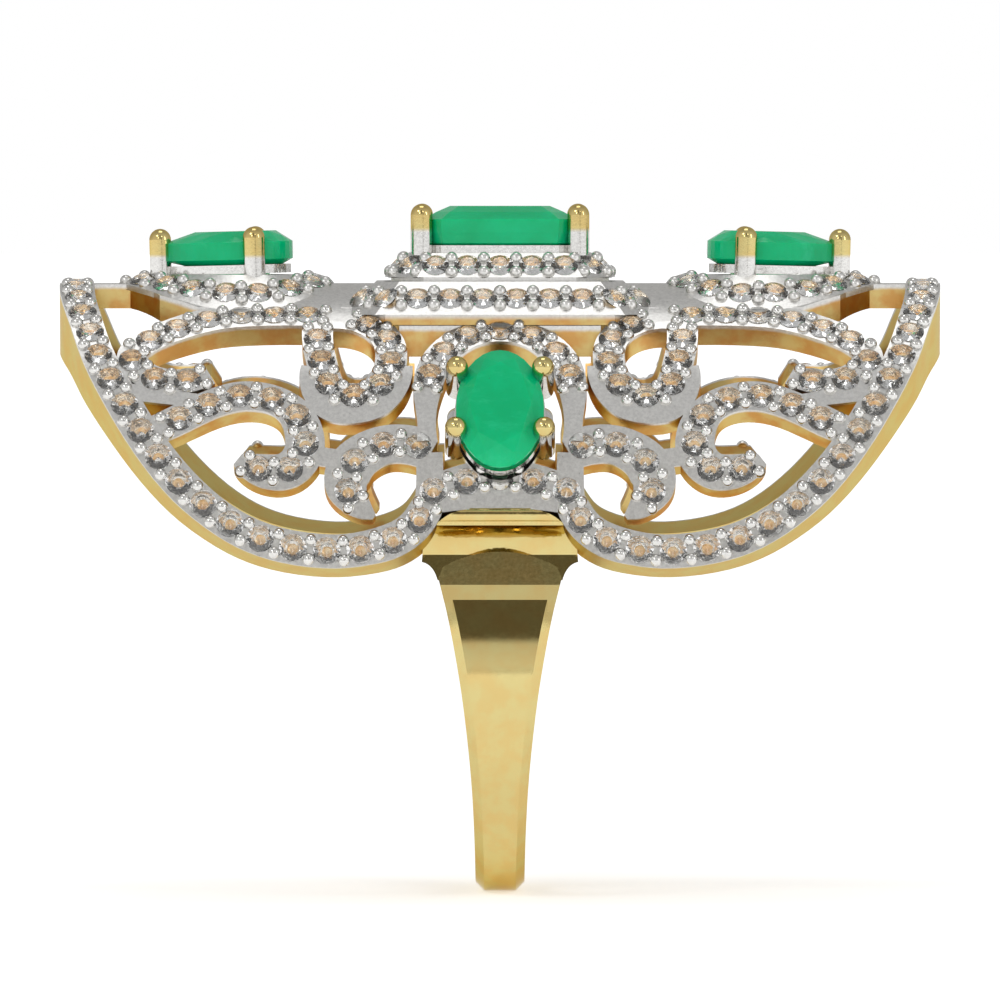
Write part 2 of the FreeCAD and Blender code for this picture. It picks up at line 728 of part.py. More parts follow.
def build_ovals():
    """The front and rear oval emeralds and their four-prong baskets."""
    stone = cut_stone(oval_outline, OVAL_CUT)
    prongs = [prong(Vector(x, y, 0), OVAL_PRONG_FOOT, OVAL_PRONG_RISE) for x, y in OVAL_PRONGS]
    half_length = size("oval_length") / 2
    half_width = size("oval_width") / 2
    rails = [
        ring(oval(half_length + grow, half_width + grow, height),
             oval(half_length + grow - 0.65, half_width + grow - 0.65, height), RAIL_RISE)
        for grow, height in OVAL_RAILS
    ]
    frame = basket(rails, prongs, stone)
    point, normal, along = on_arch(0, height_to_arc(size("oval_height_on_arch")))
    turn = FreeCAD.Rotation(ALONG_X, along, normal, "ZXY")
    for shape in (stone, frame):
        shape.Placement = FreeCAD.Placement(point + normal * size("oval_lift"), turn)
    return {
        "oval_emerald_front": stone,
        "oval_emerald_rear": mirrored(stone, ALONG_Y),
        "oval_basket_front": frame,
        "oval_basket_rear": mirrored(frame, ALONG_Y),
    }


# ---------------------------------------------------------------- the band
# Half widths of the band by height, and the shoulder's profile from the side.

BAND_HALF_WIDTHS = [
    (1.13, -1.0), (1.13, 1.0), (1.17, 2.7), (1.3, 5.3), (1.55, 7.9), (1.8, 9.8), (2.07, 11.4),
    (2.3, 12.6), (2.55, 13.7), (2.8, 14.7),
]
UNDER_HEAD_HALF_WIDTH = 1.5
SHOULDER_TOP = 17.9
STEP_TOP = 15.95
BAND_REACH = 9.0
SHOULDER_CLEAR = 15.0


def plane_of(body, role):
    """One of a body's own origin planes."""
    return next(plane for plane in body.Origin.OriginFeatures if plane.Role == role)


def new_sketch(body, role, name):
    """An empty sketch on one of the body's origin planes."""
    sketch = body.newObject("Sketcher::SketchObject", name)
    sketch.AttachmentSupport = (plane_of(body, role), "")
    sketch.MapMode = "FlatFace"
    return sketch


def add_outline(sketch, points, curved=()):
    """A closed outline of lines, with a spline in place of each stretch of points named in curved."""
    index = 0
    while index < len(points):
        stretch = next((end for start, end in curved if start == index), None)
        if stretch is None:
            ends = points[index], points[(index + 1) % len(points)]
            sketch.addGeometry(Part.LineSegment(*[Vector(x, y, 0) for x, y in ends]), False)
            index += 1
            continue
        curve = Part.BSplineCurve()
        curve.interpolate([Vector(x, y, 0) for x, y in points[index:stretch + 1]])
        sketch.addGeometry(curve, False)
        index = stretch


def through_pocket(body, sketch, name):
    """A pocket through the whole body both ways from a sketch."""
    pocket = body.newObject("PartDesign::Pocket", name)
    pocket.Profile = sketch
    pocket.SideType = "Symmetric"
    pocket.Type = "ThroughAll"
    return pocket


def bevel_outer_face(body, radius):
    """A bevel along both sides of the hoop's outer face, below the shoulders."""
    names = []
    for index, edge in enumerate(body.Shape.Edges, start=1):
        points = edge.discretize(5)
        on_face = all(abs(math.hypot(point.y, point.z - radius) - radius) < 0.01 for point in points)
        below = max(point.z for point in points) < SHOULDER_CLEAR
        if on_face and below and min(abs(point.x) for point in points) > 1:
            names.append("Edge%d" % index)
    flanks = body.Tip
    bevel = body.newObject("PartDesign::Chamfer", "face_bevel")
    bevel.Base = (flanks, names)
    bevel.setExpression("Size", "Dimensions.band_bevel")


def band_body():
    """The hoop: a round band around the bore, waisted towards its foot."""
    body = doc.addObject("PartDesign::Body", "band_hoop")
    rings = new_sketch(body, "YZ_Plane", "hoop_section")
    outer = size("bore_diameter") / 2 + size("band_thickness")
    middle = Vector(0, outer, 0)
    for radius in (outer, size("bore_diameter") / 2):
        rings.addGeometry(Part.Circle(middle, UP, radius), False)
    rings.addConstraint(Sketcher.Constraint("Radius", 0, outer))
    rings.addConstraint(Sketcher.Constraint("Radius", 1, size("bore_diameter") / 2))
    rings.setExpression("Constraints[0]", "Dimensions.bore_diameter / 2 + Dimensions.band_thickness")
    rings.setExpression("Constraints[1]", "Dimensions.bore_diameter / 2")
    pad = body.newObject("PartDesign::Pad", "hoop")
    pad.Profile = rings
    pad.SideType = "Symmetric"
    pad.Length = BAND_REACH
    doc.recompute()
    waist = new_sketch(body, "XZ_Plane", "waist")
    for side in (-1, 1):
        flank = BAND_HALF_WIDTHS + [(2.8, 15.6), (UNDER_HEAD_HALF_WIDTH, 17.0)]
        points = flank + [(UNDER_HEAD_HALF_WIDTH, 22.0), (BAND_REACH, 22.0), (BAND_REACH, -1.0)]
        add_outline(waist, [(side * x, z) for x, z in points], [(0, len(BAND_HALF_WIDTHS) - 1)])
    through_pocket(body, waist, "flanks")
    doc.recompute()
    bevel_outer_face(body, outer)
    return body


SHOULDER_PROFILE = [
    (-9.25, 14.6), (-9.0, 15.75), (-9.15, 16.35), (-9.55, 16.8), (-10.15, 17.1), (-10.3, 17.12),
    (-10.3, 17.3), (-10.44, 17.32), (-10.56, 17.48), (-10.56, 17.7), (-10.42, 17.87), (-10.2, SHOULDER_TOP),
    (-8.2, SHOULDER_TOP), (-6.9, 17.4), (-8.75, 14.7),
]
SHOULDER_FRONT = [
    (2.75, 14.2), (2.88, 14.75), (3.1, 15.15), (3.55, 15.42), (3.5, 16.05), (3.25, 16.6), (2.9, 17.15),
    (2.35, 17.6), (1.4, 17.85), (0.9, 18.6), (BAND_REACH, 18.6), (BAND_REACH, 14.2),
]


def shoulder_body():
    """The coved shoulders that carry the head, front and rear."""
    body = doc.addObject("PartDesign::Body", "shoulders")
    profile = new_sketch(body, "YZ_Plane", "shoulder_section")
    for side in (-1, 1):
        add_outline(profile, [(side * y, z) for y, z in SHOULDER_PROFILE], [(1, 4), (7, 11)])
    pad = body.newObject("PartDesign::Pad", "shoulder_pad")
    pad.Profile = profile
    pad.SideType = "Symmetric"
    pad.Length = BAND_REACH
    doc.recompute()
    flare = new_sketch(body, "XZ_Plane", "flare")
    for side in (-1, 1):
        add_outline(flare, [(side * x, z) for x, z in SHOULDER_FRONT], [(0, 3), (4, 8)])
    through_pocket(body, flare, "flare_cut")
    return body


STEP_PROFILE = [(-9.7, 13.2), (-9.57, 14.4), (-9.3, STEP_TOP), (-8.6, STEP_TOP), (-9.2, 13.2)]
STEP_FRONT = [(2.42, 13.2), (2.55, 13.7), (2.8, 14.7)]


def step_body():
    """The raised ends of the band's outer face, arched against the coves."""
    body = doc.addObject("PartDesign::Body", "face_steps")
    profile = new_sketch(body, "YZ_Plane", "step_section")
    for side in (-1, 1):
        add_outline(profile, [(side * y, z) for y, z in STEP_PROFILE])
    pad = body.newObject("PartDesign::Pad", "step_pad")
    pad.Profile = profile
    pad.SideType = "Symmetric"
    pad.Length = BAND_REACH
    doc.recompute()
    arch = new_sketch(body, "XZ_Plane", "step_arch")
    outline = STEP_FRONT + [(2.6, 15.2), (1.6, 15.65), (0, STEP_TOP - 0.05)]
    outline += [(-x, z) for x, z in reversed(outline[:-1])]
    corners = [(-BAND_REACH, 13.2), (-BAND_REACH, 18.0), (BAND_REACH, 18.0), (BAND_REACH, 13.2)]
    add_outline(arch, outline + corners, [(3, 7)])
    through_pocket(body, arch, "step_cut")
    return body


def build_shank():
    """The whole band as one object."""
    pieces = [band_body(), shoulder_body(), step_body()]
    doc.recompute()
    shank = doc.addObject("Part::MultiFuse", "shank")
    shank.Label = "shank"
    shank.Shapes = pieces
    shank.Refine = True
    return shank


# ---------------------------------------------------------------- the document and its files

def add_shape(label, shape):
    """A sub-part whose shape is set directly."""
    feature = doc.addObject("Part::Feature", label)
    feature.Label = label
    feature.Shape = shape
    return feature


def main():
    """Build every sub-part, check it and write its STEP file."""
    nodes = [build_shank()]
    for build in (build_scrollwork, build_tiers, build_centre, build_pears, build_ovals):
        for label, shape in build().items():
            nodes.append(add_shape(label, shape))
    doc.recompute()
    for entry in doc.Objects:
        if "Invalid" in entry.State or "Error" in entry.State:
            raise RuntimeError("%s is %s" % (entry.Label, entry.State))
    os.makedirs("parts", exist_ok=True)
    for node in nodes:
        if node.Shape.isNull() or not node.Shape.isValid():
            raise RuntimeError("%s has no valid shape" % node.Label)
        node.Shape.exportStep("parts/%s.step" % node.Label)


main()
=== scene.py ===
"""Looks of the cocktail ring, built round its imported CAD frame.

Metres, in the frame's own axes: X along the head, Y to the rear, Z up from the foot of the band.
The CAD metal stays and gets its plating; every stone is replaced by a faceted one in its own seat.
"""

import math

import bmesh
import bpy
import numpy as np
from mathutils import Matrix, Quaternion, Vector


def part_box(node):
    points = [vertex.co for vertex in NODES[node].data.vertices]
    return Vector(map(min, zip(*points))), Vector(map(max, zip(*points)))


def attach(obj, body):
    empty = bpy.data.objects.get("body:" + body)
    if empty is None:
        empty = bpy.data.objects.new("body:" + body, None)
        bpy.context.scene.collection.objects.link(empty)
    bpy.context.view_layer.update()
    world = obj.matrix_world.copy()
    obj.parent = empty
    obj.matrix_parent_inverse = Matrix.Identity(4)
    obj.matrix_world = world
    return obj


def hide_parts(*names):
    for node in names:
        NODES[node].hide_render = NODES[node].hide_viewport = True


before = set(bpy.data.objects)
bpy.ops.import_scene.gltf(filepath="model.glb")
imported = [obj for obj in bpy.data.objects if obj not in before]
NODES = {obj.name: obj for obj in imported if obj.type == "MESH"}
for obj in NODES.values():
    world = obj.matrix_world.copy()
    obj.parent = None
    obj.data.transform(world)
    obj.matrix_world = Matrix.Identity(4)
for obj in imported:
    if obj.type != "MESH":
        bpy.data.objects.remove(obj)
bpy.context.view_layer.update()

MM = 0.001
ARCH_HALF_DEPTH = 11.3 * MM
ARCH_RISE = 17.0 * MM
ARCH_CENTRE = 11.0 * MM
GOLDEN_ANGLE = math.radians(137.5)
EYE_HEIGHT = 18.0 * MM


# ---------------------------------------------------------------- node helpers

class Tree:
    """A node tree with short calls to add and link nodes."""

    def __init__(self, tree, coordinates):
        self.nodes = tree.nodes
        self.links = tree.links
        self.place = self.add("ShaderNodeTexCoord").outputs[coordinates]

    def add(self, kind, **settings):
        node = self.nodes.new(kind)
        for key, value in settings.items():
            setattr(node, key, value)
        return node

    def link(self, value, socket):
        if isinstance(value, bpy.types.NodeSocket):
            self.links.new(value, socket)
        else:
            socket.default_value = value

    def math(self, operation, *values):
        node = self.add("ShaderNodeMath", operation=operation)
        for value, socket in zip(values, node.inputs):
            self.link(value, socket)
        return node.outputs[0]

    def ramp(self, value, low, high, first=0.0, last=1.0, smooth=True):
        """The first value below low and the last above high, smooth or straight between."""
        node = self.add("ShaderNodeMapRange", interpolation_type="SMOOTHSTEP" if smooth else "LINEAR")
        self.link(value, node.inputs["Value"])
        node.inputs["From Min"].default_value = low
        node.inputs["From Max"].default_value = high
        node.inputs["To Min"].default_value = first
        node.inputs["To Max"].default_value = last
        return node.outputs["Result"]

    def mix(self, factor, first, second):
        node = self.add("ShaderNodeMix", data_type="RGBA")
        self.link(factor, node.inputs["Factor"])
        self.link(first, node.inputs["A"])
        self.link(second, node.inputs["B"])
        return node.outputs["Result"]

    def axes(self):
        node = self.add("ShaderNodeSeparateXYZ")
        self.link(self.place, node.inputs[0])
        return node.outputs


class Shader(Tree):
    """A new material's node tree."""

    def __init__(self, name):
        self.material = bpy.data.materials.new(name)
        self.material.use_nodes = True
        super().__init__(self.material.node_tree, "Object")
        self.surface = self.nodes["Principled BSDF"]

    def noise(self, scale, detail=3.0, roughness=0.55, stretch=None):
        place = self.place
        if stretch is not None:
            mapping = self.add("ShaderNodeMapping")
            self.link(place, mapping.inputs["Vector"])
            mapping.inputs["Rotation"].default_value = stretch[0]
            mapping.inputs["Scale"].default_value = stretch[1]
            place = mapping.outputs["Vector"]
        node = self.add("ShaderNodeTexNoise")
        self.link(place, node.inputs["Vector"])
        node.inputs["Scale"].default_value = scale
        node.inputs["Detail"].default_value = detail
        node.inputs["Roughness"].default_value = roughness
        return node.outputs["Fac"]

    def bump(self, height, strength, distance):
        node = self.add("ShaderNodeBump")
        node.inputs["Strength"].default_value = strength
        node.inputs["Distance"].default_value = distance
        self.link(height, node.inputs["Height"])
        self.link(node.outputs["Normal"], self.surface.inputs["Normal"])

    def put(self, **sockets):
        for key, value in sockets.items():
            self.link(value, self.surface.inputs[key.replace("_", " ")])
        return self.material


def rgba(red, green, blue):
    return (red, green, blue, 1.0)


RHODIUM = rgba(0.79, 0.78, 0.755)
RHODIUM_DULL = rgba(0.65, 0.64, 0.62)
GOLD = rgba(0.66, 0.55, 0.235)
GOLD_WARM = rgba(0.67, 0.505, 0.20)
GOLD_DEEP = rgba(0.62, 0.34, 0.11)


CLOUD_SCALE = 900.0
GRAIN_SCALE = 6500.0
BUMP_DEPTH = 0.06 * MM
EDGE_TINT = 0.75


def metal(name, gold_share, gold, shaded_gold, roughness=0.3, grain=0.12, polish=None):
    """Two-tone plating: rhodium where gold_share, made from the shader's nodes, is 0 and gold where it is 1.

    It is all gold without a gold_share. Where polish, a share as well, is 1 the surface is bright and smooth.
    """
    shader = Shader(name)
    cloud = shader.noise(CLOUD_SCALE, 3.0)
    fine = shader.noise(GRAIN_SCALE, 4.0, 0.65)
    colour = shader.mix(shader.ramp(cloud, 0.35, 0.65), gold, shaded_gold)
    if gold_share is not None:
        silver = shader.mix(shader.ramp(fine, 0.3, 0.7), RHODIUM_DULL, RHODIUM)
        colour = shader.mix(gold_share(shader), silver, colour)
    rough = shader.math("MULTIPLY_ADD", fine, 0.12, roughness - 0.06)
    if polish is not None:
        rough = shader.math("MULTIPLY", rough, shader.math("MULTIPLY_ADD", polish(shader), -0.7, 1.0))
    shader.bump(shader.math("ADD", fine, shader.math("MULTIPLY", cloud, 0.6)), grain, BUMP_DEPTH)
    edge = shader.mix(EDGE_TINT, rgba(1, 1, 1), colour)
    return shader.put(Base_Color=colour, Metallic=1.0, Roughness=rough, Specular_Tint=edge)


def arch_depth(shader):
    """0 on the arch's outer face, more under it and less on what stands above it."""
    _, y, z = shader.axes()
    across = shader.math("POWER", shader.math("ABSOLUTE", shader.math("DIVIDE", y, ARCH_HALF_DEPTH)), 2.0)
    raised = shader.math("DIVIDE", shader.math("SUBTRACT", z, ARCH_CENTRE), ARCH_RISE)
    up = shader.math("POWER", shader.math("ABSOLUTE", raised), 2.0)
    return shader.math("SUBTRACT", 1.0, shader.math("ADD", across, up))


def below_arch(shader):
    """1 deep in the arch's wall, 0 on its outer face and on all that stands above it."""
    wobble = shader.math("MULTIPLY_ADD", shader.noise(1400.0), 0.02, -0.01)
    return shader.ramp(shader.math("ADD", arch_depth(shader), wobble), 0.012, 0.034)


def above_arch(shader):
    """1 on the beads, which stand above the arch's outer face, and 0 on that face."""
    return shader.ramp(arch_depth(shader), -0.014, -0.006, 1.0, 0.0)


def below_height(height, blend=0.15):
    """A share that is 1 under a height in millimetres and 0 above it."""
    def share(shader):
        return shader.ramp(shader.axes()[2], (height - blend) * MM, (height + blend) * MM, 1.0, 0.0)
    return share


def above_height(height, blend=0.12):
    """A share that is 1 above a height in millimetres and 0 under it."""
    def share(shader):
        return shader.ramp(shader.axes()[2], (height - blend) * MM, (height + blend) * MM)
    return share


def along_axis(axis, start, end):
    """A share that grows from 0 to 1 between two distances along an axis in the YZ plane, front or rear."""
    def share(shader):
        _, y, z = shader.axes()
        along = shader.math("ADD", shader.math("MULTIPLY", shader.math("ABSOLUTE", y), axis[0]),
                            shader.math("MULTIPLY", z, axis[1]))
        return shader.ramp(along, start, end)
    return share


# ---------------------------------------------------------------- metal

def paint(names, material):
    for name in names:
        data = NODES[name].data
        data.materials.clear()
        data.materials.append(material)


OVAL_HEIGHT = 10.9 * MM
OVAL_STAND = 1.05 * MM
OVAL_TURN = math.acos(OVAL_HEIGHT / ARCH_RISE)
OVAL_AXIS = Vector((math.sin(OVAL_TURN) / ARCH_HALF_DEPTH, math.cos(OVAL_TURN) / ARCH_RISE)).normalized()
OVAL_TIP = (0.35 * MM, 0.75 * MM)


def oval_share():
    """Where the oval's prongs turn from rhodium rods to gold tips."""
    low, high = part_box("oval_emerald_front")
    middle = (low + high) / 2
    along = abs(middle.y) * OVAL_AXIS.x + middle.z * OVAL_AXIS.y
    return along_axis(OVAL_AXIS, along + OVAL_TIP[0], along + OVAL_TIP[1])


ON_ARCH = ("oval_halo", "oval_apron", "scroll_panel", "crown_spine")
RAISED_PLATING = 26.45
CENTRE_TIP = 1.1
PEAR_TIP = 1.2


def dress_metal():
    """Plating for every CAD metal node; heights are in millimetres."""
    arch = metal("two_tone_on_arch", below_arch, GOLD_WARM, GOLD_DEEP, polish=above_arch)
    rims = metal("two_tone_rim", below_arch, GOLD, GOLD_WARM, polish=above_arch)
    raised = metal("rhodium_raised", below_height(RAISED_PLATING), GOLD_WARM, GOLD_DEEP)
    paint([name for name in NODES if name.startswith(ON_ARCH)], arch)
    paint(["rim_left", "rim_right"], rims)
    paint(["upper_tier", "lower_tier", "pear_halo_left", "pear_halo_right"], raised)
    centre_tips = above_height(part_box("centre_emerald")[1].z / MM - CENTRE_TIP)
    pear_tips = above_height(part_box("pear_emerald_left")[1].z / MM - PEAR_TIP)
    paint(["centre_basket"], metal("centre_prongs", centre_tips, GOLD, GOLD_WARM, 0.12, 0.04))
    paint(["pear_basket_left", "pear_basket_right"],
          metal("pear_prongs", pear_tips, GOLD, GOLD_WARM, 0.12, 0.04))
    paint(["oval_basket_front", "oval_basket_rear"],
          metal("oval_prongs", oval_share(), GOLD, GOLD_WARM, 0.1, 0.04))
    paint(["shank"], metal("gold_polish", None, GOLD, GOLD_WARM, 0.1, 0.008))


# ---------------------------------------------------------------- stones

def emerald_material():
    """Milky green with a faint slanting veil and a few dark specks."""
    shader = Shader("emerald_milky")
    cloud = shader.noise(420.0, 4.0, 0.6)
    veil = shader.noise(300.0, 5.0, 0.7, ((0.4, 0.9, 0.5), (1.0, 5.0, 1.6)))
    deep = shader.mix(shader.ramp(cloud, 0.3, 0.7), rgba(0.0, 0.44, 0.165), rgba(0.0, 0.54, 0.22))
    colour = shader.mix(shader.math("MULTIPLY", shader.ramp(veil, 0.52, 0.72), 0.4), deep,
                        rgba(0.03, 0.63, 0.31))
    specks = shader.ramp(shader.noise(2600.0, 2.0), 0.74, 0.8)
    colour = shader.mix(shader.math("MULTIPLY", specks, 0.5), colour, rgba(0.01, 0.26, 0.11))
    shader.bump(veil, 0.05, 0.00005)
    shader.surface.inputs["Subsurface Radius"].default_value = (0.25, 1.0, 0.5)
    return shader.put(Base_Color=colour, Roughness=0.16, IOR=1.34, Transmission_Weight=0.04,
                      Subsurface_Weight=0.3, Subsurface_Scale=0.0006)


def melee_material():
    """Clear, hardly tinted stones."""
    shader = Shader("melee_clear")
    tint = shader.mix(shader.ramp(shader.noise(500.0, 2.0), 0.35, 0.65), rgba(0.97, 0.98, 0.98),
                      rgba(1.0, 0.99, 0.97))
    rough = shader.math("MULTIPLY", shader.noise(3000.0, 2.0), 0.03)
    return shader.put(Base_Color=tint, Roughness=rough, IOR=1.64, Transmission_Weight=0.98)


PALE_SEATS = 18.5 * MM
WARM_SEATS = 24.0 * MM


def seat_material_painted_sparkle():
    """The bright wall of a seat: silver low on the head, washed with gold higher up, with painted sparkle."""
    shader = Shader("seat_silver_painted_sparkle")
    # Painted sparkle: this fine noise mixes darker and brighter tones to stand in for glints off the facets;
    # it also gives a real fine grain as bump.
    fine = shader.ramp(shader.noise(3200.0, 3.0), 0.42, 0.62)
    warm_with_painted_sparkle = shader.mix(fine, rgba(0.90, 0.64, 0.36), rgba(0.99, 0.90, 0.76))
    pale = shader.mix(fine, rgba(0.88, 0.87, 0.85), rgba(1.0, 0.995, 0.98))
    colour = shader.mix(shader.ramp(shader.axes()[2], PALE_SEATS, WARM_SEATS), pale, warm_with_painted_sparkle)
    shader.bump(fine, 0.35, 0.00008)
    return shader.put(Base_Color=colour, Metallic=1.0, Roughness=0.18)


def foil_material_painted_sparkle():
    """The gold floor of a seat, with painted sparkle."""
    shader = Shader("seat_gold_painted_sparkle")
    # Painted sparkle: this fine noise mixes deep orange and bright gold to stand in for glints off the
    # facets; it also gives a real fine grain as bump.
    fine = shader.noise(5200.0, 3.0)
    warm_with_painted_sparkle = shader.mix(shader.ramp(fine, 0.4, 0.65), rgba(0.80, 0.42, 0.13), rgba(0.97, 0.68, 0.32))
    pale = shader.mix(shader.ramp(fine, 0.4, 0.65), rgba(0.88, 0.56, 0.26), rgba(0.98, 0.78, 0.52))
    colour = shader.mix(shader.ramp(shader.axes()[2], PALE_SEATS, WARM_SEATS), pale, warm_with_painted_sparkle)
    shader.bump(fine, 0.35, 0.00008)
    return shader.put(Base_Color=colour, Metallic=1.0, Roughness=0.3)


def new_piece(name, mesh, materials, replaced=()):
    piece = bpy.data.objects.new(name, mesh)
    bpy.context.scene.collection.objects.link(piece)
    for material in materials:
        mesh.materials.append(material)
    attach(piece, "root")
    if replaced:
        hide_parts(*replaced)


def islands(node):
    """The vertices of each separate solid in a CAD node's mesh, welded where its faces meet."""
    shape = bmesh.new()
    shape.from_mesh(NODES[node].data)
    bmesh.ops.remove_doubles(shape, verts=shape.verts[:], dist=1e-7)
    seen = set()
    groups = []
    for start in shape.verts:
        if start in seen:
            continue
        seen.add(start)
        group = []
        queue = [start]
        while queue:
            vert = queue.pop()
            group.append(vert.co.copy())
            for edge in vert.link_edges:
                other = edge.other_vert(vert)
                if other not in seen:
                    seen.add(other)
                    queue.append(other)
        groups.append(np.array([tuple(co) for co in group]))
    shape.free()
    return groups


def seat_frame(points):
    """A round stone's girdle centre, outward axis and radius from its CAD solid's vertices."""
    middle = (points.max(axis=0) + points.min(axis=0)) / 2
    centred = points - points.mean(axis=0)
    values, vectors = np.linalg.eigh(centred.T @ centred)
    gaps = [abs(values[1] - values[2]), abs(values[0] - values[2]), abs(values[0] - values[1])]
    axis = vectors[:, int(np.argmin(gaps))]
    outward = np.array([0.0, middle[1], middle[2] - ARCH_CENTRE])
    if axis @ outward < 0:
        axis = -axis
    along = points @ axis
    flat = points - np.outer(along, axis)
    wide = flat[np.argsort(np.linalg.norm(flat - flat.mean(axis=0), axis=1))[-len(flat) // 3:]]
    centre = wide.mean(axis=0)
    radius = np.linalg.norm(wide - centre, axis=1).max()
    rim = np.linalg.norm(flat - centre, axis=1) > 0.97 * radius
    return Vector(centre + axis * along[rim].max()), Vector(axis), float(radius)


def ring_points(radius, height, count, offset=0.0):
    return [Vector((radius * math.cos(math.tau * (k + offset) / count),
                    radius * math.sin(math.tau * (k + offset) / count), height)) for k in range(count)]


MELEE_TABLE = 0.55
MELEE_STAR = 0.79
MELEE_EDGE = 0.995
MELEE_MAIN = 0.42
MELEE_CROWN = 0.17 * MM
MELEE_GIRDLE = 0.03 * MM
MELEE_PAVILION = 0.34 * MM
CUP_DEPTH = 0.42 * MM


def add_faces(target, points, faces):
    verts = [target.verts.new(point) for point in points]
    for face in faces:
        target.faces.new([verts[index] for index in face])


def round_brilliant(radius):
    """Points and faces of a small round brilliant about +Z, its girdle's top on Z = 0."""
    points = ring_points(radius * MELEE_TABLE, MELEE_CROWN, 8)
    points += ring_points(radius * MELEE_STAR, MELEE_CROWN * 0.55, 8, 0.5)
    points += ring_points(radius * MELEE_EDGE, 0.0, 16)
    points += ring_points(radius * MELEE_EDGE, -MELEE_GIRDLE, 16)
    points += ring_points(radius * MELEE_MAIN, -MELEE_PAVILION * 0.62, 8, 0.5)
    points.append(Vector((0, 0, -MELEE_PAVILION)))
    table, star, girdle, lower, main, culet = 0, 8, 16, 32, 48, 56
    faces = [tuple(range(8))]
    for k in range(8):
        after = (k + 1) % 8
        before = (k - 1) % 8
        g0, g1, g2 = 2 * k, (2 * k + 1) % 16, (2 * k + 2) % 16
        faces.append((table + k, star + k, table + after))
        faces.append((table + k, star + before, girdle + g0, star + k))
        faces.append((star + k, girdle + g0, girdle + g1))
        faces.append((star + k, girdle + g1, girdle + g2))
        faces.append((main + k, lower + g1, lower + g0))
        faces.append((main + k, lower + g2, lower + g1))
        faces.append((culet, main + k, lower + g0, main + before))
    for k in range(16):
        after = (k + 1) % 16
        faces.append((girdle + k, lower + k, lower + after, girdle + after))
    return points, faces


def bridge(faces, first, second, count):
    """Four-sided faces between two rings of points."""
    for k in range(count):
        after = (k + 1) % count
        faces.append((first + k, first + after, second + after, second + k))


SEAT_FLOOR_SHARE = 0.3
SEAT_FLOOR_DEPTH = 0.34 * MM


def seat_cup(radius):
    """Points and faces of the bright cup under a stone: first its wall, then its sixteen-sided floor."""
    points = ring_points(radius * 0.97, -MELEE_GIRDLE - 0.01 * MM, 16)
    points += ring_points(radius * SEAT_FLOOR_SHARE, -SEAT_FLOOR_DEPTH, 16)
    points.append(Vector((0, 0, -CUP_DEPTH)))
    faces = []
    bridge(faces, 0, 16, 16)
    return points, faces + [(16 + k, 16 + (k + 1) % 16, 32) for k in range(16)]


def set_melee(stone_material, wall_material, floor_material):
    """Every small stone, as a brilliant in the seat where the CAD holds it."""
    for node in sorted(name for name in NODES if name.startswith("melee_")):
        stones = bmesh.new()
        cups = bmesh.new()
        for index, points in enumerate(islands(node)):
            centre, axis, radius = seat_frame(points)
            turn = axis.to_track_quat("Z", "Y") @ Quaternion((0, 0, 1), index * GOLDEN_ANGLE)
            for target, (corners, faces) in ((stones, round_brilliant(radius)), (cups, seat_cup(radius))):
                add_faces(target, [centre + turn @ corner for corner in corners], faces)
        for face in cups.faces:
            face.material_index = int(len(face.verts) == 3)
        for name, shape, slot, materials, replaced in (
                (node + "_cut", stones, "small_stones", (stone_material,), (node,)),
                (node + "_seats", cups, "two_tone_plate", (wall_material, floor_material), ())):
            bmesh.ops.recalc_face_normals(shape, faces=shape.faces[:])
            mesh = bpy.data.meshes.new(name)
            shape.to_mesh(mesh)
            shape.free()
            new_piece(name, mesh, materials, replaced)


def octagon_ring(half_length, half_width, corner, height):
    """The corners of an oblong with cut corners, at one height."""
    corners = [
        (half_length, corner - half_width), (half_length, half_width - corner),
        (half_length - corner, half_width), (corner - half_length, half_width),
        (-half_length, half_width - corner), (-half_length, corner - half_width),
        (corner - half_length, -half_width), (half_length - corner, -half_width),
    ]
    return [Vector((x, y, height)) for x, y in corners]


# Each ring's share of the stone's half width and its height in millimetres, from the table to the keel.
STEP_CUT = [
    (0.52, 0.60), (0.77, 0.33), (1.0, 0.0), (1.0, -0.10),
    (0.985, -0.60), (0.95, -1.10), (0.72, -1.45), (0.45, -1.74),
]


def step_cut_stone(half_length, half_width, corner):
    """An emerald cut: stepped crown, thin girdle and stepped pavilion down to a keel."""
    points = []
    faces = []
    for share, height in STEP_CUT:
        inset = (1 - share) * half_width
        points += octagon_ring(half_length - inset, half_width - inset, corner * share, height * MM)
    for ring in range(len(STEP_CUT) - 1):
        bridge(faces, 8 * ring, 8 * (ring + 1), 8)
    faces.append(tuple(range(8)))
    faces.append(tuple(reversed(range(len(points) - 8, len(points)))))
    return points, faces


